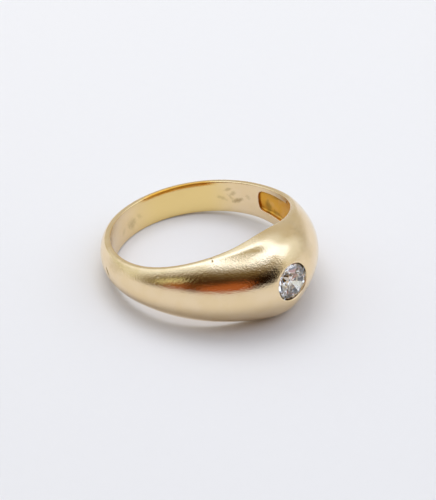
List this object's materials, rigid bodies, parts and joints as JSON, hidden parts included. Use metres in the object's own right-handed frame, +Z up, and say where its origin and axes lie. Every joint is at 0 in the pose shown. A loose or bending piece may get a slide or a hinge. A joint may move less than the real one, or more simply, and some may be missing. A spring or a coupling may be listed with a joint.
{
  "type": "flush set gypsy ring",
  "caption": "Domed band ring of yellow gold, with a round brilliant sunk flush into its swelling head and a slim tapered shank, lying on its side.",
  "frame": {"origin": "middle of the whole ring's base, on the surface that it lies on", "axes": "+Z up from that surface, -Y to the head and its stone; the finger axis leans 8.5 degrees from +Z towards +Y"},
  "size_m": [0.0196, 0.022, 0.0084],
  "materials": {
    "yellow_gold": "pale yellow gold, softly polished, with fine hairlines and small worn marks",
    "clear_stone": "clear faceted stone, fully polished"
  },
  "bodies": {
    "root": {"domed_band": "yellow_gold", "round_stone": "clear_stone"}
  },
  "joints": []
}
